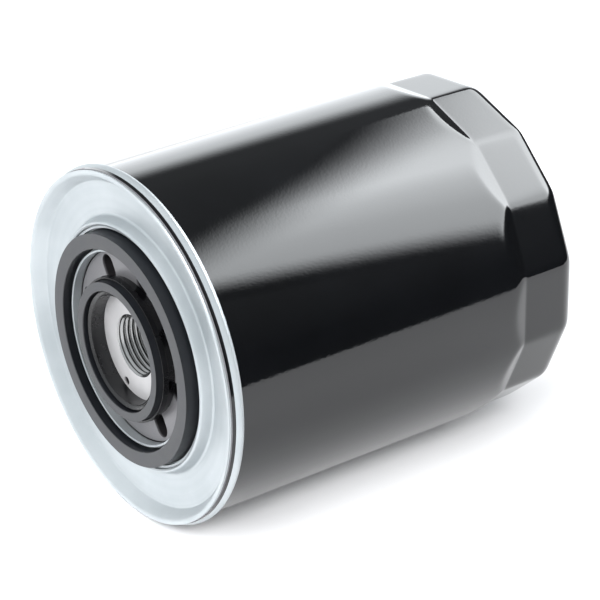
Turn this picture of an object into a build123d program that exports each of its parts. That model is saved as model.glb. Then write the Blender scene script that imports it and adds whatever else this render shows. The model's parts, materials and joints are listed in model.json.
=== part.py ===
from build123d import *
import math
import os

# A spin-on oil filter with a full-flow and a by-pass element, lying on its side. Millimetres.
# The filter's axis is +Y and Z is up. The origin is the centre of the outer gasket's sealing
# face. A station is a distance behind that face, and profiles are drawn as (radius, station).

# Driving dimensions
LENGTH = 131.4
CAN_R = 53.9
CAN_SHEET = 0.6
COVER_SHEET = 0.7
SEAM_R = 55.2
SEAM_FRONT = 2.2
GASKET_INNER_R = 31.0
GASKET_OUTER_R = 36.0
THREAD_MINOR_R = 8.84  # 3/4-16 UNF
SEAL_INNER_R = 18.5
SEAL_OUTER_R = 21.6

# The wrench flats
FLAT_COUNT = 15
FLAT_TURN = 13.3
BEVEL_START = 106.1
FLAT_START = 111.0
FLAT_R = 52.2
END_FLAT_R = 52.0
END_ROUND = 6.0

# The base plate and its holes
PLATE_FACE = 5.7
PLATE_BACK = 10.2
PLATE_R = 47.5
NECK_R = 12.4
NECK_END = 15.0
THREAD_LEAD = 0.7
COLLAR_INNER_R = 17.6
COLLAR_R = 19.2
COLLAR_END = 19.0
INLET_COUNT = 8
INLET_TURN = -13.0
INLET_WIDTH = 6.0
INLET_OUTER_R = 28.3
INLET_INNER_R = 20.0
RETURN_TURN = -110.0
RETURN_AT_R = 15.2
RETURN_R = 1.35

# The transfer tube, from the return hole to the by-pass element
TUBE_R = 2.0
TUBE_BORE_R = 1.4
TUBE_SEAT = 9.3
TUBE_END = 92.0
GROMMET_R = 3.2
GROMMET_LENGTH = 2.4

# The elements
CAP_SHEET = 0.5
CAP_R = 46.65
CAP_LIP = 3.2
MEDIA_R = 45.6
FULL_FLOW_FRONT = 19.0
FULL_FLOW_REAR = 76.0
FULL_FLOW_TUBE_R = 21.8
FULL_FLOW_MEDIA_INNER_R = 22.4
PLEATS = 48
PLEAT_DEPTH = 18.2
BYPASS_FRONT = 86.5
BYPASS_REAR = 119.5
BYPASS_TUBE_R = 20.0
BYPASS_GROOVES = 7
GROOVE_DEPTH = 1.2
GROOVE_HALF_WIDTH = 0.9
TUBE_WALL = 0.5
PERFORATION_R = 2.2

# The relief valve
VALVE_FLANGE_R = 10.8
VALVE_FLANGE = 1.2
VALVE_SLEEVE_R = 8.5
VALVE_BORE_R = 7.7
SEAT_R = 5.5
SEAT_FACE = 75.9
SLEEVE_FRONT = 72.0
POPPET_R = 6.9
POPPET_DISC = 1.25
POPPET_GAP = 0.05
STEM_R = 1.5
STEM_FRONT = 61.0
GUIDE_GAP = 0.1
CAGE_SHEET = 0.6
CAGE_FLOOR = 64.4
CAGE_REAR = 75.4
RELIEF_WIRE_R = 0.45
RELIEF_COIL_R = 4.6
RELIEF_TURNS = 5.5

# The spring that pushes the elements against the base plate
SUPPORT_WIRE_R = 1.25
SUPPORT_COIL_R = 22.0
SUPPORT_TURNS = 2.0
SEAT_WASHER = 0.6


def across(station):
    """The plane across the axis at a station. It faces the engine: x is +X and y is +Z."""
    return Plane(origin=(0, station, 0), x_dir=(1, 0, 0), z_dir=(0, -1, 0))


def along(turn):
    """The plane through the axis that faces out at an angle, with x along the axis."""
    angle = math.radians(turn)
    return Plane(origin=(0, 0, 0), x_dir=(0, 1, 0), z_dir=(math.cos(angle), 0, math.sin(angle)))


def beside_axis(radius, turn):
    """A point on an across() plane, at a radius and an angle from +X towards +Z."""
    return (radius * math.cos(math.radians(turn)), radius * math.sin(math.radians(turn)))


def turned(*points, mode=Mode.ADD):
    """Turns a closed outline about the axis, for the part being built."""
    with BuildSketch(Plane.XY) as section:
        with BuildLine():
            Polyline(*points, close=True)
        make_face()
    revolve(section.sketch, axis=Axis.Y, mode=mode)


def pressed(points, bends, thickness):
    """Turns a sheet's section about the axis, from its centre line and bend radii."""
    with BuildSketch(Plane.XY) as section:
        with BuildLine():
            FilletPolyline(*points, radius=bends)
        trace(line_width=thickness)
    revolve(section.sketch, axis=Axis.Y)


def polygon(apothem):
    """The outline of the wrench flats."""
    RegularPolygon(
        radius=apothem / math.cos(math.pi / FLAT_COUNT),
        side_count=FLAT_COUNT,
        rotation=FLAT_TURN,
    )


def can_form(inset, front):
    """The can's shape as a solid with every face set in by inset: a cylinder that a short bevel
    on each side takes down to fifteen flats, with a rounded closed end."""
    bevel_slope = (CAN_R - FLAT_R) / (FLAT_START - BEVEL_START)
    bevel_length = 2 * (FLAT_START - BEVEL_START)
    bevel_r = FLAT_R + bevel_slope * bevel_length
    bevel_front = FLAT_START - bevel_length
    with BuildPart() as flats:
        with BuildSketch(across(0)):
            Circle(1.2 * CAN_R)
        extrude(amount=-bevel_front)
        with BuildSketch(across(bevel_front)):
            polygon(bevel_r - inset)
        with BuildSketch(across(FLAT_START)):
            polygon(FLAT_R - inset)
        loft()
        with BuildSketch(across(FLAT_START)):
            polygon(FLAT_R - inset)
        with BuildSketch(across(LENGTH - inset)):
            polygon(END_FLAT_R - inset)
        loft()
        fillet(flats.faces().sort_by(Axis.Y)[-1].edges(), radius=END_ROUND - inset)
    with BuildPart() as form:
        with BuildSketch(across(front)):
            Circle(CAN_R - inset)
        extrude(amount=front - LENGTH)
        add(flats.part, mode=Mode.INTERSECT)
    return form.part


def end_cap(disc, rim, inner_r, neck=None):
    """Presses a filter element's end cap. disc is the station of its sheet's middle, rim the
    station of its outer lip's edge, and neck that of the edge of its inner lip, if it has one."""
    lip_r = CAP_R - CAP_SHEET / 2
    points = [(lip_r, rim), (lip_r, disc), (inner_r, disc)]
    bends = [CAP_SHEET]
    if neck is not None:
        points.append((inner_r, neck))
        bends.append(CAP_SHEET)
    pressed(points, bends, CAP_SHEET)


def centre_tube(outer_r, front, rear, rows, columns):
    """Makes a perforated tube that carries a filter element from the inside."""
    with BuildSketch(across(front)) as ring:
        Circle(outer_r)
        Circle(outer_r - TUBE_WALL, mode=Mode.SUBTRACT)
    extrude(ring.sketch, amount=front - rear)
    for column in range(columns):
        with BuildSketch(along(column * 360 / columns)) as holes:
            with Locations(((front + rear) / 2, 0)):
                with GridLocations((rear - front) / rows, 0, rows, 1):
                    Circle(PERFORATION_R)
        extrude(holes.sketch, amount=1.2 * outer_r, mode=Mode.SUBTRACT)


def coil(front, rear, coil_r, wire_r, turns):
    """Sweeps an open coil spring between two stations."""
    height = rear - front - 2 * wire_r
    with BuildLine() as path:
        Helix(
            pitch=height / turns,
            height=height,
            radius=coil_r,
            center=(0, front + wire_r, 0),
            direction=(0, 1, 0),
        )
    with BuildSketch(Plane(origin=path.line @ 0, z_dir=path.line % 0)) as wire:
        Circle(wire_r)
    sweep(wire.sketch, path=path.line, is_frenet=True)


# The cover: a lip, the gasket's groove, a folded crest, a shallow ring and the rolled seam
LIP_R = 29.9
GROOVE_R = 36.7
GROOVE_FLOOR = 5.8
CREST = 3.55
with BuildPart() as cover_plate:
    with BuildSketch(Plane.XY):
        with BuildLine():
            FilletPolyline(
                (LIP_R, 2.5),
                (LIP_R, GROOVE_FLOOR),
                (GROOVE_R, GROOVE_FLOOR),
                (GROOVE_R, CREST),
                (GROOVE_R + 1.3, CREST),
                (39.4, 7.2),
                (50.3, 6.2),
                (52.95, SEAM_FRONT + COVER_SHEET / 2),
                (SEAM_R - COVER_SHEET / 2, SEAM_FRONT + COVER_SHEET / 2),
                (SEAM_R - COVER_SHEET / 2, 5.9),
                (CAN_R + 0.4, 6.75),
                radius=[0.6, 0.6, 0.6, 0.6, 1.2, 1.0, 0.8, 0.8, 0.6],
            )
        trace(line_width=COVER_SHEET)
    revolve(axis=Axis.Y)

# The outer gasket, square in section, stands in the cover's groove
GASKET_REAR = GROOVE_FLOOR - COVER_SHEET / 2
with BuildPart() as outer_gasket:
    turned(
        (GASKET_INNER_R, 0),
        (GASKET_OUTER_R, 0),
        (GASKET_OUTER_R, GASKET_REAR),
        (GASKET_INNER_R, GASKET_REAR),
    )
    fillet(outer_gasket.edges().filter_by(GeomType.CIRCLE), radius=0.3)

# The can: its shape, hollowed, with its rim folded outward into a hook inside the rolled seam
RIM_FRONT = 3.3
HOOK_END = 4.9
HOOK_R = CAN_R + CAN_SHEET
can_outside = can_form(inset=0, front=RIM_FRONT)
can_inside = can_form(inset=CAN_SHEET, front=RIM_FRONT - 1)
with BuildPart() as can:
    add(can_outside)
    add(can_inside, mode=Mode.SUBTRACT)
    turned(
        (CAN_R - CAN_SHEET, RIM_FRONT),
        (HOOK_R, RIM_FRONT),
        (HOOK_R, HOOK_END),
        (CAN_R - CAN_SHEET, HOOK_END),
    )

# Sealing compound fills the pockets above and below the hook
POCKET_FRONT = SEAM_FRONT + COVER_SHEET + 0.05
POCKET_REAR = HOOK_END + 0.7
POCKET_R = HOOK_R - 0.1
with BuildPart() as seaming_compound:
    turned(
        (CAN_R - 0.3, POCKET_FRONT),
        (CAN_R + 0.3, POCKET_FRONT),
        (CAN_R + 0.3, RIM_FRONT),
        (CAN_R - 0.3, RIM_FRONT),
    )
    turned(
        (CAN_R, HOOK_END),
        (POCKET_R, HOOK_END),
        (POCKET_R, POCKET_REAR),
        (CAN_R, POCKET_REAR),
    )

# The base plate: a raised face inside the cover's lip, a flange behind the groove's floor, the
# threaded neck, and a collar round the clean oil's side
FLANGE_FACE = GROOVE_FLOOR + COVER_SHEET / 2
RING_FACE = 7.75
FACE_R = LIP_R - COVER_SHEET / 2 - 0.1
with BuildPart() as base_plate:
    turned(
        (THREAD_MINOR_R, PLATE_FACE),
        (FACE_R, PLATE_FACE),
        (FACE_R, FLANGE_FACE + 0.6),
        (LIP_R + 1, FLANGE_FACE),
        (GROOVE_R - 1, FLANGE_FACE),
        (GROOVE_R + 1.6, RING_FACE),
        (PLATE_R - 0.6, RING_FACE),
        (PLATE_R, RING_FACE + 0.6),
        (PLATE_R, PLATE_BACK + 0.8),
        (PLATE_R - 8, PLATE_BACK + 0.8),
        (PLATE_R - 9, PLATE_BACK),
        (COLLAR_R, PLATE_BACK),
        (COLLAR_R, COLLAR_END),
        (COLLAR_INNER_R, COLLAR_END),
        (COLLAR_INNER_R, PLATE_BACK),
        (NECK_R, PLATE_BACK),
        (NECK_R - 0.6, NECK_END),
        (THREAD_MINOR_R, NECK_END),
    )
    bore_rims = base_plate.edges().filter_by(GeomType.CIRCLE).group_by(SortBy.RADIUS)[0]
    chamfer(bore_rims, length=THREAD_LEAD)
    with BuildSketch(across(PLATE_FACE)):
        with PolarLocations((INLET_INNER_R + INLET_OUTER_R) / 2, INLET_COUNT, INLET_TURN):
            SlotOverall(INLET_OUTER_R - INLET_INNER_R, INLET_WIDTH)
        with Locations(beside_axis(RETURN_AT_R, RETURN_TURN)):
            Circle(RETURN_R)
    extrude(amount=PLATE_FACE - PLATE_BACK - 1, mode=Mode.SUBTRACT)
    with BuildSketch(across(TUBE_SEAT)):
        with Locations(beside_axis(RETURN_AT_R, RETURN_TURN)):
            Circle(TUBE_R)
    extrude(amount=TUBE_SEAT - PLATE_BACK, mode=Mode.SUBTRACT)

# The black ring round the thread, flanged at its front, that holds the inner seal
HOLDER_INNER_R = 16.8
HOLDER_OUTER_R = 21.4
HOLDER_FRONT = 1.26
INNER_STEP_FRONT = 0.73
SEAL_BED = 2.6
HOLDER_FLANGE_R = SEAL_OUTER_R + 0.8
with BuildPart() as seal_holder:
    turned(
        (HOLDER_INNER_R, INNER_STEP_FRONT + 0.4),
        (HOLDER_INNER_R + 0.4, INNER_STEP_FRONT),
        (SEAL_INNER_R - 0.3, INNER_STEP_FRONT),
        (SEAL_INNER_R - 0.3, SEAL_BED),
        (SEAL_OUTER_R + 0.1, SEAL_BED),
        (SEAL_OUTER_R + 0.1, HOLDER_FRONT),
        (HOLDER_FLANGE_R, HOLDER_FRONT),
        (HOLDER_FLANGE_R, SEAL_BED + 0.4),
        (HOLDER_OUTER_R, SEAL_BED + 0.9),
        (HOLDER_OUTER_R, PLATE_FACE),
        (HOLDER_INNER_R, PLATE_FACE),
    )

SEAL_FACE = -0.75
with BuildPart() as inner_seal:
    turned(
        (SEAL_INNER_R, SEAL_FACE),
        (SEAL_OUTER_R, SEAL_FACE),
        (SEAL_OUTER_R, SEAL_BED),
        (SEAL_INNER_R, SEAL_BED),
    )
    fillet(inner_seal.edges().filter_by(GeomType.CIRCLE), radius=0.3)

# The anti-drain valve: a rubber sleeve on the collar, with a lip that closes the inlet holes
with BuildPart() as anti_drain_valve:
    pressed(
        points=[(COLLAR_R + 0.6, 16.4), (COLLAR_R + 0.6, 12.6), (31.6, PLATE_BACK + 0.75)],
        bends=[0.9],
        thickness=1.2,
    )

# The grommet that seals the full-flow element to the collar
with BuildPart() as element_seal:
    turned((COLLAR_R, 16.5), (21.5, 16.5), (21.5, 18.9), (COLLAR_R, 18.9))

# The full-flow element
FRONT_DISC = FULL_FLOW_FRONT + CAP_SHEET / 2
REAR_DISC = FULL_FLOW_REAR - CAP_SHEET / 2
with BuildPart() as full_flow_front_cap:
    end_cap(disc=FRONT_DISC, rim=FRONT_DISC + CAP_LIP, inner_r=21.75, neck=16.6)

with BuildPart() as full_flow_rear_cap:
    end_cap(disc=REAR_DISC, rim=REAR_DISC - CAP_LIP, inner_r=VALVE_SLEEVE_R)
    with BuildSketch(across(FULL_FLOW_REAR)):
        with Locations(beside_axis(RETURN_AT_R, RETURN_TURN)):
            Circle(GROMMET_R)
    extrude(amount=3, both=True, mode=Mode.SUBTRACT)

with BuildPart() as full_flow_centre_tube:
    centre_tube(
        FULL_FLOW_TUBE_R,
        front=FULL_FLOW_FRONT + CAP_SHEET,
        rear=FULL_FLOW_REAR - CAP_SHEET,
        rows=7,
        columns=10,
    )

with BuildPart() as full_flow_media:
    with BuildSketch(across(FULL_FLOW_FRONT + CAP_SHEET)):
        for depth, mode in ((0, Mode.ADD), (PLEAT_DEPTH / 4, Mode.SUBTRACT)):
            with BuildLine(mode=Mode.PRIVATE) as pleats:
                Polyline(
                    *[
                        beside_axis(
                            MEDIA_R - depth - fold % 2 * PLEAT_DEPTH,
                            fold * 180 / PLEATS,
                        )
                        for fold in range(2 * PLEATS)
                    ],
                    close=True,
                )
            make_face(pleats.edges(), mode=mode)
    extrude(amount=FULL_FLOW_FRONT - FULL_FLOW_REAR + 2 * CAP_SHEET)

# The steel strip crimped over the joint of the pleated paper
with BuildPart() as media_clip:
    with BuildSketch(across(FULL_FLOW_FRONT + 5)):
        with Locations((0, MEDIA_R + 0.25)):
            Rectangle(4, 0.4)
    extrude(amount=FULL_FLOW_FRONT - FULL_FLOW_REAR + 10)

# The relief valve in the middle of the full-flow element's rear cap
SLEEVE_SHELL_R = VALVE_SLEEVE_R - 0.25
with BuildPart() as relief_valve_body:
    turned(
        (SEAT_R, SEAT_FACE),
        (VALVE_BORE_R, SEAT_FACE),
        (VALVE_BORE_R, SLEEVE_FRONT),
        (SLEEVE_SHELL_R, SLEEVE_FRONT),
        (SLEEVE_SHELL_R, FULL_FLOW_REAR),
        (VALVE_FLANGE_R, FULL_FLOW_REAR),
        (VALVE_FLANGE_R, FULL_FLOW_REAR + VALVE_FLANGE),
        (SEAT_R, FULL_FLOW_REAR + VALVE_FLANGE),
    )

POPPET_REAR = SEAT_FACE - POPPET_GAP
POPPET_FRONT = POPPET_REAR - POPPET_DISC
with BuildPart() as relief_poppet:
    turned(
        (0, STEM_FRONT),
        (STEM_R - 0.3, STEM_FRONT),
        (STEM_R, STEM_FRONT + 0.3),
        (STEM_R, POPPET_FRONT),
        (POPPET_R, POPPET_FRONT),
        (POPPET_R, POPPET_REAR),
        (0, POPPET_REAR),
    )

with BuildPart() as relief_retainer:
    turned(
        (STEM_R + GUIDE_GAP, CAGE_FLOOR - CAGE_SHEET),
        (SLEEVE_SHELL_R + CAGE_SHEET, CAGE_FLOOR - CAGE_SHEET),
        (SLEEVE_SHELL_R + CAGE_SHEET, CAGE_REAR),
        (SLEEVE_SHELL_R, CAGE_REAR),
        (SLEEVE_SHELL_R, CAGE_FLOOR),
        (STEM_R + GUIDE_GAP, CAGE_FLOOR),
    )
    for window in range(4):
        with BuildSketch(along(45 + window * 90)):
            with Locations(((CAGE_FLOOR + SLEEVE_FRONT) / 2, 0)):
                Rectangle(6, 8)
        extrude(amount=2 * VALVE_SLEEVE_R, mode=Mode.SUBTRACT)

with BuildPart() as relief_spring:
    coil(CAGE_FLOOR, POPPET_FRONT, RELIEF_COIL_R, RELIEF_WIRE_R, RELIEF_TURNS)

# The windowed ring that keeps the two elements apart
SPACER_R = 32.0
SPACER_WALL = 0.8
with BuildPart() as element_spacer:
    with BuildSketch(across(FULL_FLOW_REAR)):
        Circle(SPACER_R)
        Circle(SPACER_R - SPACER_WALL, mode=Mode.SUBTRACT)
    extrude(amount=FULL_FLOW_REAR - BYPASS_FRONT)
    for window in range(6):
        with BuildSketch(along(30 + window * 60)):
            with Locations(((FULL_FLOW_REAR + BYPASS_FRONT) / 2, 0)):
                SlotOverall(14, 5, rotation=90)
        extrude(amount=1.2 * SPACER_R, mode=Mode.SUBTRACT)

# The by-pass element
BYPASS_FRONT_DISC = BYPASS_FRONT + CAP_SHEET / 2
BYPASS_REAR_DISC = BYPASS_REAR - CAP_SHEET / 2
with BuildPart() as bypass_front_cap:
    end_cap(disc=BYPASS_FRONT_DISC, rim=BYPASS_FRONT_DISC + CAP_LIP, inner_r=0)
    with BuildSketch(across(BYPASS_FRONT)):
        with Locations(beside_axis(RETURN_AT_R, RETURN_TURN)):
            Circle(GROMMET_R)
    extrude(amount=3, both=True, mode=Mode.SUBTRACT)

with BuildPart() as bypass_rear_cap:
    end_cap(disc=BYPASS_REAR_DISC, rim=BYPASS_REAR_DISC - CAP_LIP, inner_r=0)

with BuildPart() as bypass_centre_tube:
    centre_tube(
        BYPASS_TUBE_R,
        front=BYPASS_FRONT + CAP_SHEET,
        rear=BYPASS_REAR - CAP_SHEET,
        rows=4,
        columns=10,
    )

with BuildPart() as bypass_media:
    with BuildSketch(across(BYPASS_FRONT + CAP_SHEET)):
        Circle(MEDIA_R)
        Circle(BYPASS_TUBE_R, mode=Mode.SUBTRACT)
    extrude(amount=BYPASS_FRONT - BYPASS_REAR + 2 * CAP_SHEET)
    groove_pitch = (BYPASS_REAR - BYPASS_FRONT) / (BYPASS_GROOVES + 1)
    for groove in range(BYPASS_GROOVES):
        station = BYPASS_FRONT + (groove + 1) * groove_pitch
        turned(
            (MEDIA_R - GROOVE_DEPTH, station),
            (MEDIA_R + 1, station - GROOVE_HALF_WIDTH),
            (MEDIA_R + 1, station + GROOVE_HALF_WIDTH),
            mode=Mode.SUBTRACT,
        )

# The tube that carries the by-pass element's clean oil to the return hole, and its two grommets
with BuildPart() as transfer_tube:
    with BuildSketch(across(TUBE_SEAT)):
        with Locations(beside_axis(RETURN_AT_R, RETURN_TURN)):
            Circle(TUBE_R)
            Circle(TUBE_BORE_R, mode=Mode.SUBTRACT)
    extrude(amount=TUBE_SEAT - TUBE_END)

with BuildPart() as tube_grommets:
    for cap_station in (REAR_DISC, BYPASS_FRONT_DISC):
        with BuildSketch(across(cap_station - GROMMET_LENGTH / 2)):
            with Locations(beside_axis(RETURN_AT_R, RETURN_TURN)):
                Circle(GROMMET_R)
                Circle(TUBE_R, mode=Mode.SUBTRACT)
        extrude(amount=-GROMMET_LENGTH)

# The spring and its seat, between the by-pass element and the closed end
with BuildPart() as spring_seat:
    pressed(
        points=[
            (14.0, BYPASS_REAR + 1.9),
            (17.0, BYPASS_REAR + SEAT_WASHER / 2),
            (27.0, BYPASS_REAR + SEAT_WASHER / 2),
            (28.6, BYPASS_REAR + 2.4),
        ],
        bends=[0.8, 0.8],
        thickness=SEAT_WASHER,
    )

with BuildPart() as support_spring:
    coil(
        BYPASS_REAR + SEAT_WASHER,
        LENGTH - CAN_SHEET,
        SUPPORT_COIL_R,
        SUPPORT_WIRE_R,
        SUPPORT_TURNS,
    )

pieces = {
    "can": can,
    "cover_plate": cover_plate,
    "seaming_compound": seaming_compound,
    "outer_gasket": outer_gasket,
    "base_plate": base_plate,
    "seal_holder": seal_holder,
    "inner_seal": inner_seal,
    "anti_drain_valve": anti_drain_valve,
    "element_seal": element_seal,
    "full_flow_front_cap": full_flow_front_cap,
    "full_flow_media": full_flow_media,
    "media_clip": media_clip,
    "full_flow_centre_tube": full_flow_centre_tube,
    "full_flow_rear_cap": full_flow_rear_cap,
    "relief_valve_body": relief_valve_body,
    "relief_poppet": relief_poppet,
    "relief_spring": relief_spring,
    "relief_retainer": relief_retainer,
    "element_spacer": element_spacer,
    "bypass_front_cap": bypass_front_cap,
    "bypass_media": bypass_media,
    "bypass_centre_tube": bypass_centre_tube,
    "bypass_rear_cap": bypass_rear_cap,
    "transfer_tube": transfer_tube,
    "tube_grommets": tube_grommets,
    "spring_seat": spring_seat,
    "support_spring": support_spring,
}
os.makedirs("parts", exist_ok=True)
for name, piece in pieces.items():
    piece.part.label = name
    export_step(piece.part, f"parts/{name}.step")
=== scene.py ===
import json
import math

import bmesh
import bpy
from mathutils import Matrix, Vector


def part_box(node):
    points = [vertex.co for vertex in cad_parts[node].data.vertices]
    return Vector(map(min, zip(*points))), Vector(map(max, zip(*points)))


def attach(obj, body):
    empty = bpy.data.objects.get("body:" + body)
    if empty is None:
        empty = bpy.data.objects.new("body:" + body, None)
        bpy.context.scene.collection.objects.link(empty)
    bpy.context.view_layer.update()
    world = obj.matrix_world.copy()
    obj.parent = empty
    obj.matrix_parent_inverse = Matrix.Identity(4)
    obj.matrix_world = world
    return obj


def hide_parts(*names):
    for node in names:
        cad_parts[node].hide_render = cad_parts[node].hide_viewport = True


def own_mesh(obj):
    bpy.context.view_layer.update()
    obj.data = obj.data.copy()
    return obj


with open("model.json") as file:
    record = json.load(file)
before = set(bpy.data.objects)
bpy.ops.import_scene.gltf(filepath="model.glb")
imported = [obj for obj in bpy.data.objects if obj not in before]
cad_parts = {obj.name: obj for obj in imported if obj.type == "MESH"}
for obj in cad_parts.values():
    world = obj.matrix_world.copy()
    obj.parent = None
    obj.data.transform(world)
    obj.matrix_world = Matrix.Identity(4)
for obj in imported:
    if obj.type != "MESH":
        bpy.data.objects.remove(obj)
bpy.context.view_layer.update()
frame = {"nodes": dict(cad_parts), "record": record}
BODY = "filter"
MM = 0.001

# ---------------------------------------------------------------------------
# Profiles. A profile point is (radius, station) in millimetres. A station is
# the distance behind the outer gasket's face, along +Y, the filter's axis.
# ---------------------------------------------------------------------------

CAN_R = 53.9
CAN_SHEET = 0.6
CAN_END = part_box("can")[1].y / MM
COVER_SHEET = 0.7
SEAM_R = 55.2
SEAM_FRONT = 2.2
LIP_R = 29.9
GROOVE_R = 36.7
GROOVE_FLOOR = 5.8
CREST = 3.55
PLATE_FACE = 5.7
PLATE_BACK = 10.2
RETURN_AT_R = 15.2
RETURN_TURN = -110.0

FLAT_COUNT = 15
FLAT_TURN = 13.3
BEVEL_START = 106.1
FLAT_START = 111.0
FLAT_R = 52.2
END_FLAT_R = 52.0
END_ROUND = 6.0
RIDGE_SHARPNESS = 4.5
END_SHARPNESS = 3.0
FILLET_SHARPNESS = 14.0

CAN_SEGMENTS = FLAT_COUNT * 36
WALL_FRONT = 6.0
HOOK_FRONT, HOOK_BACK = 3.3, 4.9
DENSE_START, DENSE_STEP = 102.0, 0.15

GASKET_IN_R, GASKET_OUT_R, GASKET_BACK = 31.0, 36.0, 5.45
SEAL_IN_R, SEAL_OUT_R = 18.5, 21.6
SEAL_FRONT, SEAL_BACK = -0.75, 2.6
HOLDER_IN_R = 16.8

SLOT_COUNT = 8
SLOT_TURN = -13.0
SLOT_IN_R, SLOT_OUT_R = 20.0, 28.3
SLOT_WIDTH = 6.0
RETURN_HOLE_R = 1.35
CUT_FRONT, CUT_BACK = 3.0, 10.9

RELIEF_COIL_R = 4.6
RELIEF_WIRE_R = 0.45
RELIEF_TURNS = 6.5


def arc_points(before, corner, after, radius, step=12.0):
    """The points of the arc that rounds a corner, about every step degrees."""
    if radius <= 0:
        return [corner]
    a = Vector(before) - Vector(corner)
    b = Vector(after) - Vector(corner)
    a.normalize()
    b.normalize()
    half = a.angle(b) / 2
    if half > math.pi / 2 - 0.01:
        return [corner]
    middle = (a + b).normalized()
    centre = Vector(corner) + middle * (radius / math.sin(half))
    start = Vector(corner) + a * (radius / math.tan(half)) - centre
    turn = math.pi - 2 * half
    side = 1.0 if start.x * b.y - start.y * b.x > 0 else -1.0
    count = max(2, round(math.degrees(turn) / step))
    points = []
    for i in range(count + 1):
        t = side * turn * i / count
        c, s = math.cos(t), math.sin(t)
        points.append((centre.x + start.x * c - start.y * s, centre.y + start.x * s + start.y * c))
    return points


def rounded(points, radii):
    """A closed outline with rounded corners."""
    outline = []
    for i, corner in enumerate(points):
        radius = radii[i] if isinstance(radii, (list, tuple)) else radii
        outline += arc_points(points[i - 1], corner, points[(i + 1) % len(points)], radius)
    return outline


def sheet_outline(points, bends, thickness, edge=0.12):
    """The closed outline of a bent sheet, from its centre line and bend radii."""
    line = [points[0]]
    for i in range(1, len(points) - 1):
        line += arc_points(points[i - 1], points[i], points[i + 1], bends[i - 1], step=9.0)
    line.append(points[-1])
    left, right = [], []
    for i, point in enumerate(line):
        before = Vector(line[max(i - 1, 0)])
        after = Vector(line[min(i + 1, len(line) - 1)])
        along = (after - before).normalized()
        out = Vector((-along.y, along.x)) * (thickness / 2)
        narrow = out * (1 - 2 * edge / thickness)
        here = Vector(point)
        if i == 0:
            place = here + along * edge
            left += [tuple(here + narrow), tuple(place + out)]
            right += [tuple(here - narrow), tuple(place - out)]
        elif i == len(line) - 1:
            place = here - along * edge
            left += [tuple(place + out), tuple(here + narrow)]
            right += [tuple(place - out), tuple(here - narrow)]
        else:
            left.append(tuple(here + out))
            right.append(tuple(here - out))
    return left + right[::-1]


def split_long(outline, longest):
    """An outline with its long stretches divided."""
    divided = []
    for i, start in enumerate(outline):
        end = outline[(i + 1) % len(outline)]
        count = max(1, math.ceil(math.dist(start, end) / longest))
        for k in range(count):
            t = k / count
            divided.append((start[0] + (end[0] - start[0]) * t, start[1] + (end[1] - start[1]) * t))
    return divided


def grid_mesh(name, rows, close_rows=False):
    """A mesh through rows of points, each row a closed ring."""
    mesh = bpy.data.meshes.new(name)
    count = len(rows[0])
    vertices = [point for row in rows for point in row]
    faces = []
    last = len(rows) if close_rows else len(rows) - 1
    for j in range(last):
        k = (j + 1) % len(rows)
        for i in range(count):
            n = (i + 1) % count
            faces.append((j * count + i, j * count + n, k * count + n, k * count + i))
    mesh.from_pydata(vertices, [], faces)
    return mesh


def tidy_mesh(mesh, sharp=32.0):
    """Outward normals, smooth shading and sharp creases."""
    work = bmesh.new()
    work.from_mesh(mesh)
    bmesh.ops.remove_doubles(work, verts=work.verts, dist=1e-7)
    bmesh.ops.recalc_face_normals(work, faces=work.faces)
    if work.calc_volume(signed=True) < 0:
        bmesh.ops.reverse_faces(work, faces=work.faces)
    work.to_mesh(mesh)
    work.free()
    mesh.shade_smooth()
    mesh.set_sharp_from_angle(angle=math.radians(sharp))
    mesh.update()


def place(name, mesh, slot, material, replaced=()):
    """Links a mesh as a piece that rides on the filter and stands for CAD nodes."""
    piece = bpy.data.objects.new(name, mesh)
    bpy.context.scene.collection.objects.link(piece)
    mesh.materials.append(material)
    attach(piece, BODY)
    if replaced:
        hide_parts(*replaced)
    return piece


def ring_of(radius, station, segments, turn=0.0):
    """A ring of points in metres round the axis."""
    ring = []
    for i in range(segments):
        angle = math.tau * i / segments + turn
        ring.append((radius * math.cos(angle) * MM, station * MM, radius * math.sin(angle) * MM))
    return ring


def lathe(name, outline, segments=288, sharp=32.0):
    """A closed outline turned about the axis."""
    mesh = grid_mesh(name, [ring_of(r, s, segments) for r, s in outline], close_rows=True)
    tidy_mesh(mesh, sharp)
    return mesh


# ---------------------------------------------------------------------------
# Materials
# ---------------------------------------------------------------------------


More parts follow.
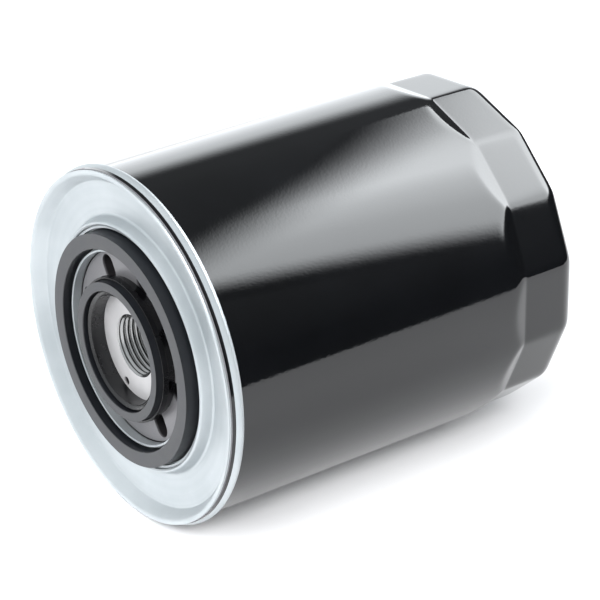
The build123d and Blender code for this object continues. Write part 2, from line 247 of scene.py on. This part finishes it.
class Shader:
    """A material with a Principled shader, and short ways to add nodes to it."""

    def __init__(self, name):
        self.material = bpy.data.materials.new(name)
        self.material.use_nodes = True
        self.tree = self.material.node_tree
        self.surface = self.tree.nodes["Principled BSDF"]
        self.object = self.add("ShaderNodeTexCoord").outputs["Object"]

    def add(self, kind, inputs=None, **settings):
        made = self.tree.nodes.new(kind)
        for key, value in settings.items():
            setattr(made, key, value)
        for key, value in (inputs or {}).items():
            self.feed(made.inputs[key], value)
        return made

    def feed(self, socket, value):
        if isinstance(value, bpy.types.NodeSocket):
            self.tree.links.new(value, socket)
        else:
            socket.default_value = value

    def set(self, **inputs):
        for key, value in inputs.items():
            self.feed(self.surface.inputs[key.replace("_", " ")], value)

    def math(self, operation, a, b=0.0):
        return self.add("ShaderNodeMath", {0: a, 1: b}, operation=operation).outputs[0]

    def noise(self, scale, detail=3.0, roughness=0.55):
        made = self.add(
            "ShaderNodeTexNoise",
            {"Vector": self.object, "Scale": scale, "Detail": detail, "Roughness": roughness},
        )
        return made.outputs["Fac"]

    def radius(self):
        """The distance from the filter's axis, in metres."""
        flat = self.add("ShaderNodeVectorMath", {0: self.object, 1: (1, 0, 1)}, operation="MULTIPLY")
        return self.add("ShaderNodeVectorMath", {0: flat.outputs[0]}, operation="LENGTH").outputs["Value"]

    def station(self):
        """The distance along the filter's axis, in metres."""
        return self.add("ShaderNodeSeparateXYZ", {0: self.object}).outputs["Y"]

    def line_noise(self, value, scale, detail=2.0):
        """Noise that changes along one value only, as turning marks do."""
        made = self.add(
            "ShaderNodeTexNoise",
            {"W": value, "Scale": scale, "Detail": detail},
            noise_dimensions="1D",
        )
        return made.outputs["Fac"]

    def between(self, value, low, high, from_low=0.3, from_high=0.7):
        """A value's range mapped smoothly to another range."""
        made = self.add(
            "ShaderNodeMapRange",
            {"Value": value, "From Min": from_low, "From Max": from_high, "To Min": low, "To Max": high},
            interpolation_type="SMOOTHSTEP",
        )
        return made.outputs["Result"]

    def mix(self, share, a, b):
        """Two colours mixed by a share."""
        made = self.add("ShaderNodeMix", data_type="RGBA")
        self.feed(made.inputs["Factor"], share)
        self.feed(made.inputs[6], a)
        self.feed(made.inputs[7], b)
        return made.outputs[2]

    def facing_front(self):
        """One where the surface faces the engine, as a sealing face does, and zero elsewhere."""
        normal = self.add("ShaderNodeTexCoord").outputs["Normal"]
        front = self.add("ShaderNodeSeparateXYZ", {0: normal}).outputs["Y"]
        return self.between(front, 1.0, 0.0, -0.97, -0.85)

    def bump(self, height, strength, distance, under=None):
        made = self.add("ShaderNodeBump", {"Height": height, "Strength": strength, "Distance": distance})
        if under is not None:
            self.feed(made.inputs["Normal"], under)
        return made.outputs["Normal"]


def gloss_paint():
    """Gloss black paint with a fine orange-peel surface."""
    s = Shader("gloss_black_paint")
    peel = s.noise(1300.0, detail=2.0)
    swell = s.noise(70.0, detail=1.0)
    patches = s.between(s.noise(25.0), 0.0, 1.0)
    tint = s.mix(patches, (0.0014, 0.0016, 0.0020, 1), (0.0026, 0.0029, 0.0036, 1))
    rough = s.between(s.noise(240.0), 0.045, 0.075)
    normal = s.bump(peel, 0.32, 0.00003, s.bump(swell, 0.06, 0.0002))
    s.set(Base_Color=tint, Roughness=rough, Normal=normal, IOR=1.5)
    return s.material


def zinc_plate():
    """Bright zinc plating over a spun cover: faint rings and a cloudy satin."""
    s = Shader("zinc_plate")
    r = s.radius()
    fine = s.line_noise(r, 5200.0)
    broad = s.line_noise(r, 620.0)
    cloud = s.noise(38.0, detail=4.0)
    tint = s.mix(s.between(cloud, 0.0, 1.0), (0.375, 0.405, 0.42, 1), (0.45, 0.48, 0.495, 1))
    rough = s.math("ADD", s.between(broad, 0.40, 0.47), s.between(cloud, 0.0, 0.06))
    normal = s.bump(fine, 0.08, 0.00003, s.bump(broad, 0.08, 0.0001))
    s.set(Base_Color=tint, Metallic=0.75, Roughness=rough, Normal=normal)
    return s.material


def rubber(name, dark, light, roughness, side=None):
    """Moulded rubber with a fine dull grain; a side colour, if given, is painted shade on the sides, which come
    out darker than the faces that look to the front.
    """
    s = Shader(name)
    grain = s.noise(2400.0, detail=3.0)
    cloud = s.noise(90.0, detail=5.0, roughness=0.65)
    tint = s.mix(s.between(cloud, 0.0, 1.0), dark, light)
    rough = s.between(cloud, roughness - 0.06, roughness + 0.06)
    if side is not None:
        # Painted shade: surfaces that do not face the front take the darker side colour.
        face = s.facing_front()
        tint = s.mix(face, side, tint)
        rough = s.math("SUBTRACT", rough, s.math("MULTIPLY", s.math("SUBTRACT", 1.0, face), 0.12))
    normal = s.bump(grain, 0.25, 0.00004, s.bump(cloud, 0.08, 0.0002))
    s.set(Base_Color=tint, Roughness=rough, Normal=normal, IOR=1.5)
    return s.material


def satin_metal(name, dark, light, rough_low, rough_high, turned=True):
    """A satin metal with turning marks or a rolled grain."""
    s = Shader(name)
    marks = s.line_noise(s.radius() if turned else s.station(), 3800.0)
    cloud = s.noise(60.0, detail=4.0)
    speck = s.noise(1500.0, detail=2.0)
    tint = s.mix(s.between(cloud, 0.0, 1.0), dark, light)
    worn = s.math("ADD", s.math("MULTIPLY", marks, 0.6), s.math("MULTIPLY", cloud, 0.4))
    rough = s.between(worn, rough_low, rough_high)
    normal = s.bump(marks, 0.10, 0.00003, s.bump(speck, 0.08, 0.00002))
    s.set(Base_Color=tint, Metallic=1.0, Roughness=rough, Normal=normal)
    return s.material


def base_plate_steel():
    """Matt phosphated steel on the plate's face, with painted shade on the face beyond the holder and nearly
    black painted shade in its holes and behind the face.
    """
    s = Shader("plate_steel")
    marks = s.line_noise(s.radius(), 3800.0)
    cloud = s.noise(60.0, detail=4.0)
    speck = s.noise(1500.0, detail=2.0)
    bright = s.mix(s.between(cloud, 0.0, 1.0), (0.36, 0.355, 0.36, 1), (0.45, 0.445, 0.45, 1))
    # Painted shade: the face darkens beyond the holder, down in the recess before the gasket.
    painted_recess_shade = s.between(s.radius(), 0.0, 1.0, 18.5 * MM, 20.5 * MM)
    face = s.mix(painted_recess_shade, bright, (0.17, 0.168, 0.175, 1))
    # Painted shade: the walls of the holes and all that lies behind the face turn nearly black.
    inside = s.between(s.station(), 0.0, 1.0, (PLATE_FACE + 0.05) * MM, (PLATE_FACE + 0.9) * MM)
    tint = s.mix(inside, face, (0.025, 0.023, 0.025, 1))
    rough = s.between(marks, 0.34, 0.46)
    normal = s.bump(marks, 0.10, 0.00003, s.bump(speck, 0.15, 0.00003))
    s.set(Base_Color=tint, Metallic=0.35, Roughness=rough, Normal=normal, Specular_IOR_Level=0.2)
    return s.material


def paper(name, dark, light):
    """Resin-treated filter paper or felt, with its fibres."""
    s = Shader(name)
    fibre = s.noise(1800.0, detail=6.0, roughness=0.7)
    cloud = s.noise(140.0, detail=4.0)
    tint = s.mix(s.between(cloud, 0.0, 1.0), dark, light)
    s.set(Base_Color=tint, Roughness=s.between(fibre, 0.75, 0.95), Normal=s.bump(fibre, 0.5, 0.0001))
    return s.material


PAINT = gloss_paint()
ZINC = zinc_plate()
GASKET_RUBBER = rubber(
    "gasket_rubber",
    (0.016, 0.017, 0.019, 1),
    (0.028, 0.029, 0.033, 1),
    0.50,
    # The side colour is painted shade on the gasket's walls.
    side=(0.004, 0.0045, 0.006, 1),
)
HOLDER_BLACK = rubber(
    "holder_black",
    (0.010, 0.010, 0.011, 1),
    (0.016, 0.016, 0.017, 1),
    0.40,
    # The side colour is painted shade on the holder's walls.
    side=(0.003, 0.003, 0.0035, 1),
)
VALVE_RUBBER = rubber("valve_rubber", (0.006, 0.006, 0.007, 1), (0.010, 0.010, 0.011, 1), 0.55)
COMPOUND = rubber("seaming_compound", (0.10, 0.10, 0.11, 1), (0.16, 0.16, 0.17, 1), 0.6)
PLATE_STEEL = base_plate_steel()
# The thread's steel is tinted darker than the plate's face: painted shade for the deep bore.
THREAD_STEEL = satin_metal("thread_steel", (0.22, 0.22, 0.22, 1), (0.32, 0.32, 0.32, 1), 0.14, 0.24)
TINPLATE = satin_metal("tinplate", (0.60, 0.60, 0.59, 1), (0.72, 0.72, 0.70, 1), 0.24, 0.36)
SPRING_STEEL = satin_metal(
    "spring_steel", (0.34, 0.35, 0.37, 1), (0.46, 0.47, 0.49, 1), 0.22, 0.34, turned=False
)
BRASS = satin_metal("brass", (0.66, 0.49, 0.20, 1), (0.78, 0.60, 0.28, 1), 0.18, 0.30)
PAPER = paper("filter_paper", (0.66, 0.50, 0.26, 1), (0.80, 0.64, 0.38, 1))
FELT = paper("filter_felt", (0.72, 0.68, 0.58, 1), (0.84, 0.80, 0.70, 1))

SLOT_MATERIALS = {
    "can_paint": PAINT,
    "zinc": ZINC,
    "compound": COMPOUND,
    "gasket_rubber": GASKET_RUBBER,
    "plate_steel": PLATE_STEEL,
    "holder_black": HOLDER_BLACK,
    "valve_rubber": VALVE_RUBBER,
    "tinplate": TINPLATE,
    "filter_paper": PAPER,
    "filter_felt": FELT,
    "brass": BRASS,
    "spring_steel": SPRING_STEEL,
}


def dress_cad_nodes():
    """Gives each CAD node the material of its slot."""
    for part in frame["record"]["subparts"]:
        node = frame["nodes"][part["node"]]
        node.data.materials.clear()
        node.data.materials.append(SLOT_MATERIALS[part["material_slot"]])


# ---------------------------------------------------------------------------
# The can: a drawn cylinder with fifteen wrench flats and a rounded end
# ---------------------------------------------------------------------------


def soft_least(values, sharpness):
    """The least of some values, rounded where two of them meet."""
    low = min(values)
    return low - math.log(sum(math.exp(-sharpness * (v - low)) for v in values)) / sharpness


def facet_distance(station, inset):
    """How far a bevel or a flat lies from the axis, rounded where the one meets the other."""
    bevel_slope = (CAN_R - FLAT_R) / (FLAT_START - BEVEL_START)
    flat_slope = (FLAT_R - END_FLAT_R) / (CAN_END - FLAT_START)
    bevel = FLAT_R + bevel_slope * (FLAT_START - station)
    flat = FLAT_R + flat_slope * (FLAT_START - station)
    return -soft_least([-bevel, -flat], FILLET_SHARPNESS) - inset


def can_row(station, facet_r, cylinder_r, sharpness):
    """A ring round the can: the nearer of the cylinder and of the fifteen facets."""
    facet = math.tau / FLAT_COUNT
    row = []
    for i in range(CAN_SEGMENTS):
        angle = math.tau * i / CAN_SEGMENTS + math.radians(FLAT_TURN)
        off = (math.tau * i / CAN_SEGMENTS) % facet - facet / 2
        reaches = [cylinder_r] + [facet_r / math.cos(off + turn) for turn in (-facet, 0.0, facet)]
        radius = soft_least(reaches, sharpness)
        row.append((radius * math.cos(angle) * MM, station * MM, radius * math.sin(angle) * MM))
    return row


def can_stations(flats_end):
    """Where the can's side has rows: close together only where the bevels lie."""
    dense_end = FLAT_START + 1.5
    plain_start = 12.0
    dense_count = round((dense_end - DENSE_START) / DENSE_STEP)
    stations = [WALL_FRONT, WALL_FRONT + 0.5, 8.0, plain_start]
    stations += [plain_start + (DENSE_START - plain_start) * i / 24 for i in range(1, 24)]
    stations += [DENSE_START + DENSE_STEP * i for i in range(dense_count)]
    stations += [dense_end + (flats_end - dense_end) * i / 14 for i in range(15)]
    return stations


def can_rows(inset):
    """The can's rows from its rim to the middle of its closed end."""
    cylinder_r = CAN_R - inset
    flats_end = CAN_END - inset - END_ROUND
    rows = []
    for station in can_stations(flats_end):
        blend = min(1.0, max(0.0, (station - FLAT_START) / (flats_end - FLAT_START)))
        sharpness = RIDGE_SHARPNESS + (END_SHARPNESS - RIDGE_SHARPNESS) * blend
        rows.append(can_row(station, facet_distance(station, inset), cylinder_r, sharpness))
    for i in range(1, 15):
        turn = math.radians(90.0 * i / 14)
        station = flats_end + END_ROUND * math.sin(turn)
        drop = END_ROUND * (1 - math.cos(turn))
        facet_r = facet_distance(station, inset) - drop
        rows.append(can_row(station, facet_r, cylinder_r - drop, END_SHARPNESS))
    rim = rows[-1]
    for share in (0.9, 0.75, 0.5, 0.25, 0.08):
        rows.append([(x * share, y, z * share) for x, y, z in rim])
    return rows


def cap_hole(mesh):
    """Closes every open edge loop of a mesh with a face."""
    work = bmesh.new()
    work.from_mesh(mesh)
    bmesh.ops.holes_fill(work, edges=[e for e in work.edges if e.is_boundary])
    work.to_mesh(mesh)
    work.free()


def make_can():
    """The can: its outer and inner walls, joined by the hook at its front edge."""
    hook_r = CAN_R + CAN_SHEET
    hook = rounded(
        [(CAN_R - CAN_SHEET, HOOK_FRONT), (hook_r, HOOK_FRONT), (hook_r, HOOK_BACK), (CAN_R, HOOK_BACK)],
        [0.25, 0.25, 0.2, 0.0],
    )
    turn = math.radians(FLAT_TURN)
    rows = can_rows(CAN_SHEET)[::-1]
    rows += [ring_of(r, s, CAN_SEGMENTS, turn) for r, s in hook]
    rows += can_rows(0.0)
    mesh = grid_mesh("can_shell", rows)
    cap_hole(mesh)
    tidy_mesh(mesh, sharp=40.0)
    place("can_shell", mesh, "can_paint", PAINT, ["can"])


# ---------------------------------------------------------------------------
# The cover, gaskets and holder
# ---------------------------------------------------------------------------


def make_cover():
    """The cover: lip, gasket groove, crest, flat ring, and the edge rolled over the can's hook."""
    roll_r = SEAM_R - COVER_SHEET / 2
    roll_front = SEAM_FRONT + COVER_SHEET / 2
    outline = sheet_outline(
        [
            (LIP_R, 2.5),
            (LIP_R, GROOVE_FLOOR),
            (GROOVE_R, GROOVE_FLOOR),
            (GROOVE_R, CREST),
            (GROOVE_R + 1.3, CREST),
            (39.4, 7.2),
            (50.3, 6.2),
            (52.95, roll_front),
            (roll_r, roll_front),
            (roll_r, 5.9),
            (CAN_R + 0.4, 6.75),
        ],
        [0.6, 0.6, 0.6, 0.6, 1.2, 1.0, 0.8, 0.8, 0.6],
        COVER_SHEET,
    )
    mesh = lathe("cover_shell", split_long(outline, 1.5), 432)
    place("cover_shell", mesh, "zinc", ZINC, ["cover_plate"])


def make_gasket():
    """The outer gasket: a square-section ring."""
    outline = rounded(
        [(GASKET_IN_R, 0.0), (GASKET_OUT_R, 0.0), (GASKET_OUT_R, GASKET_BACK), (GASKET_IN_R, GASKET_BACK)],
        0.3,
    )
    mesh = lathe("gasket_ring", outline, 360)
    place("gasket_ring", mesh, "gasket_rubber", GASKET_RUBBER, ["outer_gasket"])


def make_seal():
    """The inner face seal, which stands proud of the gasket."""
    outline = rounded(
        [(SEAL_IN_R, SEAL_FRONT), (SEAL_OUT_R, SEAL_FRONT), (SEAL_OUT_R, SEAL_BACK), (SEAL_IN_R, SEAL_BACK)],
        0.3,
    )
    mesh = lathe("seal_ring", outline, 288)
    place("seal_ring", mesh, "gasket_rubber", GASKET_RUBBER, ["inner_seal"])


def make_holder():
    """The black ring that carries the inner seal in a groove."""
    outline = rounded(
        [
            (HOLDER_IN_R, 0.73),
            (18.2, 0.73),
            (18.2, SEAL_BACK),
            (21.7, SEAL_BACK),
            (21.7, 1.26),
            (22.4, 1.26),
            (22.4, 3.0),
            (21.4, 3.5),
            (21.4, PLATE_FACE),
            (HOLDER_IN_R, PLATE_FACE),
        ],
        [0.35, 0.12, 0.05, 0.05, 0.1, 0.15, 0.15, 0.2, 0.0, 0.0],
    )
    mesh = lathe("holder_ring", outline, 288)
    place("holder_ring", mesh, "holder_black", HOLDER_BLACK, ["seal_holder"])


# ---------------------------------------------------------------------------
# The base plate: its slots are cut from the turned plate, and the thread is
# a helix inside its neck
# ---------------------------------------------------------------------------

THREAD_PITCH = 1.5875
THREAD_MINOR_R = 8.84
THREAD_MAJOR_R = 9.53
THREAD_WALL_R = 9.75
NECK_END = 15.0


def cutter(outline):
    """A bar along the axis that cuts an outline, in millimetres, through the plate."""
    rows = [[(x * MM, station * MM, z * MM) for x, z in outline] for station in (CUT_FRONT, CUT_BACK)]
    mesh = grid_mesh("cutter", rows)
    cap_hole(mesh)
    tidy_mesh(mesh)
    return mesh


def slot_outline(turn):
    """A radial slot with round ends."""
    half = SLOT_WIDTH / 2
    outline = []
    for i in range(25):
        t = -math.pi / 2 + math.pi * i / 24
        outline.append((SLOT_OUT_R - half + half * math.cos(t), half * math.sin(t)))
    for i in range(25):
        t = math.pi / 2 + math.pi * i / 24
        outline.append((SLOT_IN_R + half + half * math.cos(t), half * math.sin(t)))
    angle = math.radians(turn)
    c, s = math.cos(angle), math.sin(angle)
    return [(x * c - y * s, x * s + y * c) for x, y in outline]


def return_outline():
    """The small round hole that by-pass oil leaves through."""
    angle = math.radians(RETURN_TURN)
    centre_x, centre_z = RETURN_AT_R * math.cos(angle), RETURN_AT_R * math.sin(angle)
    outline = []
    for i in range(40):
        t = math.tau * i / 40
        outline.append((centre_x + RETURN_HOLE_R * math.cos(t), centre_z + RETURN_HOLE_R * math.sin(t)))
    return outline


def joined_cutters():
    """All the cutters in one mesh."""
    turns = [SLOT_TURN + 360 / SLOT_COUNT * i for i in range(SLOT_COUNT)]
    work = bmesh.new()
    for outline in [slot_outline(turn) for turn in turns] + [return_outline()]:
        work.from_mesh(cutter(outline))
    joined = bpy.data.meshes.new("slot_cutters")
    work.to_mesh(joined)
    work.free()
    return joined


def make_base_plate():
    """The base plate, turned and then cut."""
    lip = LIP_R - COVER_SHEET / 2 - 0.1
    outline = rounded(
        [
            (THREAD_WALL_R, PLATE_FACE),
            (lip, PLATE_FACE),
            (lip, 6.75),
            (LIP_R + 1, 6.15),
            (GROOVE_R - 1, 6.15),
            (GROOVE_R + 1.6, 7.75),
            (47.5, 7.75),
            (47.5, PLATE_BACK + 0.8),
            (39.5, PLATE_BACK + 0.8),
            (38.5, PLATE_BACK),
            (19.2, PLATE_BACK),
            (19.2, 19.0),
            (17.6, 19.0),
            (17.6, PLATE_BACK),
            (12.4, PLATE_BACK),
            (11.8, NECK_END),
            (THREAD_WALL_R, NECK_END),
        ],
        [0, 0.2, 0, 0, 0, 0.3, 0.5, 0.3, 0.3, 0.3, 0.3, 0.2, 0.2, 0.3, 0.5, 0.4, 0],
    )
    mesh = lathe("plate_body", split_long(outline, 3.0), 240)
    plate = place("plate_body", mesh, "plate_steel", PLATE_STEEL, ["base_plate"])
    tool = bpy.data.objects.new("slot_cutters", joined_cutters())
    bpy.context.scene.collection.objects.link(tool)
    cut = plate.modifiers.new("slots", "BOOLEAN")
    cut.operation = "DIFFERENCE"
    cut.solver = "MANIFOLD"
    cut.object = tool
    bpy.context.view_layer.update()
    depsgraph = bpy.context.evaluated_depsgraph_get()
    finished = bpy.data.meshes.new_from_object(plate.evaluated_get(depsgraph))
    finished.name = "plate_body"
    plate.modifiers.clear()
    plate.data = finished
    tidy_mesh(finished, 30.0)
    bpy.data.objects.remove(tool)


def make_thread():
    """The threaded bore: a tube whose inner wall is the thread's helix."""
    segments = 180
    per_turn = 16
    lead = 0.8
    length = NECK_END - PLATE_FACE
    count = round(length / THREAD_PITCH * per_turn)
    rows = [ring_of(THREAD_WALL_R, PLATE_FACE, segments)]
    for j in range(count + 1):
        depth = length * j / count
        entry = max(0.0, 1 - depth / lead, 1 - (length - depth) / lead)
        row = []
        for i in range(segments):
            angle = math.tau * i / segments
            phase = (depth / THREAD_PITCH - i / segments) % 1.0
            flank = abs(phase - 0.5) * 2
            share = min(1.0, max(0.0, (flank - 0.10) / 0.72))
            radius = THREAD_MINOR_R + (THREAD_MAJOR_R - THREAD_MINOR_R) * share
            radius = max(radius, THREAD_MINOR_R + (THREAD_WALL_R - 0.03 - THREAD_MINOR_R) * entry)
            row.append((radius * math.cos(angle) * MM, (PLATE_FACE + depth) * MM, radius * math.sin(angle) * MM))
        rows.append(row)
    rows.append(ring_of(THREAD_WALL_R, NECK_END, segments))
    mesh = grid_mesh("thread_bore", rows, close_rows=True)
    tidy_mesh(mesh, 60.0)
    place("thread_bore", mesh, "plate_steel", THREAD_STEEL)


# ---------------------------------------------------------------------------
# The relief valve's spring, wound to the CAD spring's length
# ---------------------------------------------------------------------------


def make_coil(name, front, back, coil_r, wire_r, turns, end_turns=0.9, round_count=10):
    """A compression spring whose end turns lie close."""
    steps = round(turns * 28)
    rise = back - front - 2 * wire_r
    rows = []
    for j in range(steps + 1):
        turn = turns * j / steps
        closed = 1.06 * 2 * wire_r * end_turns
        if turn < end_turns:
            lift = closed * turn / end_turns
        elif turn > turns - end_turns:
            lift = rise - closed * (turns - turn) / end_turns
        else:
            lift = closed + (rise - 2 * closed) * (turn - end_turns) / (turns - 2 * end_turns)
        angle = math.tau * turn
        row = []
        for i in range(round_count):
            t = math.tau * i / round_count
            r = coil_r + wire_r * math.cos(t)
            station = front + wire_r + lift + wire_r * math.sin(t)
            row.append((r * math.cos(angle) * MM, station * MM, r * math.sin(angle) * MM))
        rows.append(row)
    mesh = grid_mesh(name, rows)
    cap_hole(mesh)
    tidy_mesh(mesh, 50.0)
    return mesh


def make_relief_coil():
    """The relief valve's spring, wound between the ends of the CAD spring, with a mesh of its own."""
    low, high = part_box("relief_spring")
    mesh = make_coil(
        "relief_coil", low.y / MM, high.y / MM, RELIEF_COIL_R, RELIEF_WIRE_R, RELIEF_TURNS
    )
    coil = place("relief_coil", mesh, "spring_steel", SPRING_STEEL, ["relief_spring"])
    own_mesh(coil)


# ---------------------------------------------------------------------------
# Floor, light and camera
# ---------------------------------------------------------------------------

FLOOR_Z = -SEAM_R * MM
FLOOR_LEFT, FLOOR_RIGHT = -2.0, 0.335
FLOOR_FRONT, FLOOR_BACK = -2.0, 0.50

# The softbox hangs behind and above the filter. A place on it is given in metres
# sideways and upward from the point at this distance in its direction.
SOFTBOX_AIM = Vector((0.0, 0.060, 0.0))
SOFTBOX_WAY = Vector((0.30, 0.56, 0.77)).normalized()
SOFTBOX_DISTANCE = 0.350
SOFTBOX_SIDE = Vector((0.8815, -0.4722, 0.0))
SOFTBOX_LEFT, SOFTBOX_RIGHT = -0.36, 0.19
SOFTBOX_BOTTOM, SOFTBOX_TOP = -0.26, 0.13
SOFTBOX_POWER = 13.5
SOFTBOX_SPILL = 0.33
SOFTBOX_STOPS = ((0.0, 0.50), (0.30, 0.66), (0.52, 0.94), (0.60, 1.0), (0.70, 0.78), (0.82, 0.62), (1.0, 0.52))

LENS = 159.3
SENSOR_WIDTH = 36.0
CAMERA_AZIMUTH = math.radians(54.26)
CAMERA_ELEVATION = math.radians(28.62)
CAMERA_PLACE = Vector((0.5774, -0.3502, 0.3845))


def level_card(name, left, right, bottom, top, material):
    """A flat rectangle in its own X and Y."""
    mesh = bpy.data.meshes.new(name)
    corners = [(left, bottom, 0), (right, bottom, 0), (right, top, 0), (left, top, 0)]
    mesh.from_pydata(corners, [], [(0, 1, 2, 3)])
    mesh.materials.append(material)
    card = bpy.data.objects.new(name, mesh)
    bpy.context.scene.collection.objects.link(card)
    return card


def floor_material():
    """Plain matt white."""
    made = bpy.data.materials.new("floor_white")
    made.use_nodes = True
    surface = made.node_tree.nodes["Principled BSDF"]
    surface.inputs["Base Color"].default_value = (0.86, 0.86, 0.87, 1)
    surface.inputs["Roughness"].default_value = 0.9
    surface.inputs["Specular IOR Level"].default_value = 0.0
    return made


def make_floor():
    """The white table: its edges lie just beyond what the camera sees."""
    floor = level_card("floor", FLOOR_LEFT, FLOOR_RIGHT, FLOOR_FRONT, FLOOR_BACK, floor_material())
    floor.location.z = FLOOR_Z


def math_node(tree, operation, *values):
    """A maths node's result, from sockets and constants."""
    made = tree.nodes.new("ShaderNodeMath")
    made.operation = operation
    for socket, value in zip(made.inputs, values):
        if isinstance(value, bpy.types.NodeSocket):
            tree.links.new(value, socket)
        else:
            socket.default_value = value
    return made.outputs[0]


def range_node(tree, value, start, end, low=0.0, high=1.0, smooth=True):
    """A value's range from start to end, mapped to the range from low to high."""
    made = tree.nodes.new("ShaderNodeMapRange")
    made.interpolation_type = "SMOOTHSTEP" if smooth else "LINEAR"
    made.inputs["From Min"].default_value = start
    made.inputs["From Max"].default_value = end
    made.inputs["To Min"].default_value = low
    made.inputs["To Max"].default_value = high
    tree.links.new(value, made.inputs["Value"])
    return made.outputs["Result"]


def softbox_material():
    """The softbox's glow: hottest over its lamp, soft along its edges, with a little spill."""
    made = bpy.data.materials.new("softbox")
    made.use_nodes = True
    tree = made.node_tree
    tree.nodes.clear()
    out = tree.nodes.new("ShaderNodeOutputMaterial")
    glow = tree.nodes.new("ShaderNodeEmission")
    where = tree.nodes.new("ShaderNodeTexCoord")
    split = tree.nodes.new("ShaderNodeSeparateXYZ")
    tree.links.new(where.outputs["Object"], split.inputs[0])
    across, upward = split.outputs["X"], split.outputs["Y"]

    ramp = tree.nodes.new("ShaderNodeValToRGB")
    tree.links.new(range_node(tree, across, -0.30, 0.15, smooth=False), ramp.inputs[0])
    for position, level in SOFTBOX_STOPS[1:-1]:
        ramp.color_ramp.elements.new(position)
    for stop, (position, level) in zip(ramp.color_ramp.elements, SOFTBOX_STOPS):
        stop.color = (level * 0.94, level * 0.975, level, 1)
    tree.links.new(ramp.outputs[0], glow.inputs["Color"])

    top_edge = range_node(tree, upward, 0.130, 0.035)
    bottom_edge = range_node(tree, upward, -0.245, -0.19)
    right_edge = range_node(tree, across, 0.170, 0.115)
    edges = math_node(tree, "MULTIPLY", math_node(tree, "MULTIPLY", top_edge, bottom_edge), right_edge)
    lit = math_node(tree, "MULTIPLY", edges, SOFTBOX_POWER)
    tree.links.new(math_node(tree, "ADD", lit, SOFTBOX_SPILL), glow.inputs["Strength"])
    tree.links.new(glow.outputs[0], out.inputs[0])
    return made


def make_softbox():
    """The softbox: it shows in reflections only."""
    card = level_card(
        "softbox", SOFTBOX_LEFT, SOFTBOX_RIGHT, SOFTBOX_BOTTOM, SOFTBOX_TOP, softbox_material()
    )
    up = SOFTBOX_SIDE.cross(SOFTBOX_WAY)
    toward = SOFTBOX_SIDE.cross(up)
    turn = Matrix((SOFTBOX_SIDE, up, toward)).transposed()
    card.matrix_world = Matrix.Translation(SOFTBOX_AIM + SOFTBOX_WAY * SOFTBOX_DISTANCE) @ turn.to_4x4()
    card.visible_camera = False
    card.visible_shadow = False
    card.visible_diffuse = False


def soft_sun(name, direction, strength, angle):
    """A distant soft light that comes from a direction and leaves no glint."""
    light = bpy.data.lights.new(name, "SUN")
    light.energy = strength
    light.angle = math.radians(angle)
    lamp = bpy.data.objects.new(name, light)
    lamp.visible_glossy = False
    lamp.rotation_mode = "QUATERNION"
    lamp.rotation_quaternion = Vector(direction).to_track_quat("Z", "Y")
    bpy.context.scene.collection.objects.link(lamp)


def make_world():
    """A studio: pale to the eye, dim in reflections, with a bright wall low at the back left."""
    world = bpy.data.worlds.new("studio")
    bpy.context.scene.world = world
    world.use_nodes = True
    tree = world.node_tree
    tree.nodes.clear()
    out = tree.nodes.new("ShaderNodeOutputWorld")
    seen = tree.nodes.new("ShaderNodeBackground")
    seen.inputs["Color"].default_value = (1, 1, 1, 1)
    seen.inputs["Strength"].default_value = 1.0
    dim = tree.nodes.new("ShaderNodeBackground")
    dim.inputs["Color"].default_value = (0.93, 0.97, 1.0, 1)
    where = tree.nodes.new("ShaderNodeTexCoord")
    split = tree.nodes.new("ShaderNodeSeparateXYZ")
    tree.links.new(where.outputs["Generated"], split.inputs[0])
    x, y, z = split.outputs

    low = range_node(tree, z, 0.50, 0.28)
    left = range_node(tree, x, -0.55, -0.70)
    behind = range_node(tree, y, 0.05, 0.25)
    wall = math_node(tree, "MULTIPLY", math_node(tree, "MULTIPLY", low, left), behind)
    front = range_node(tree, y, 0.15, -0.30)
    lit = math_node(tree, "MULTIPLY_ADD", front, 0.36, wall)
    level = tree.nodes.new("ShaderNodeMapRange")
    level.inputs["To Max"].default_value = 3.2
    tree.links.new(range_node(tree, z, 0.05, 0.60, 0.06, 0.26, smooth=False), level.inputs["To Min"])
    tree.links.new(lit, level.inputs["Value"])
    tree.links.new(level.outputs[0], dim.inputs["Strength"])

    path = tree.nodes.new("ShaderNodeLightPath")
    mix = tree.nodes.new("ShaderNodeMixShader")
    tree.links.new(path.outputs["Is Camera Ray"], mix.inputs[0])
    tree.links.new(dim.outputs[0], mix.inputs[1])
    tree.links.new(seen.outputs[0], mix.inputs[2])
    tree.links.new(mix.outputs[0], out.inputs[0])


def make_camera():
    """The camera: the photograph's angle, from the right, in front and above."""
    lens = bpy.data.cameras.new("camera")
    lens.lens = LENS
    lens.sensor_width = SENSOR_WIDTH
    lens.clip_start, lens.clip_end = 0.01, 100.0
    camera = bpy.data.objects.new("camera", lens)
    back = Vector(
        (
            math.sin(CAMERA_AZIMUTH) * math.cos(CAMERA_ELEVATION),
            -math.cos(CAMERA_AZIMUTH) * math.cos(CAMERA_ELEVATION),
            math.sin(CAMERA_ELEVATION),
        )
    )
    camera.location = CAMERA_PLACE
    camera.rotation_mode = "QUATERNION"
    camera.rotation_quaternion = (-back).to_track_quat("-Z", "Y")
    bpy.context.scene.collection.objects.link(camera)
    bpy.context.scene.camera = camera


dress_cad_nodes()
make_can()
make_cover()
make_gasket()
make_seal()
make_holder()
make_base_plate()
make_thread()
make_relief_coil()

make_floor()
make_world()
make_softbox()
soft_sun("right_key", (0.74, -0.15, 0.67), 2.3, 22.0)
soft_sun("left_fill", (-0.62, -0.25, 0.74), 1.9, 30.0)
soft_sun("front_fill", (0.35, -0.70, 0.60), 3.0, 28.0)
make_camera()
bpy.context.scene.view_settings.view_transform = "Standard"
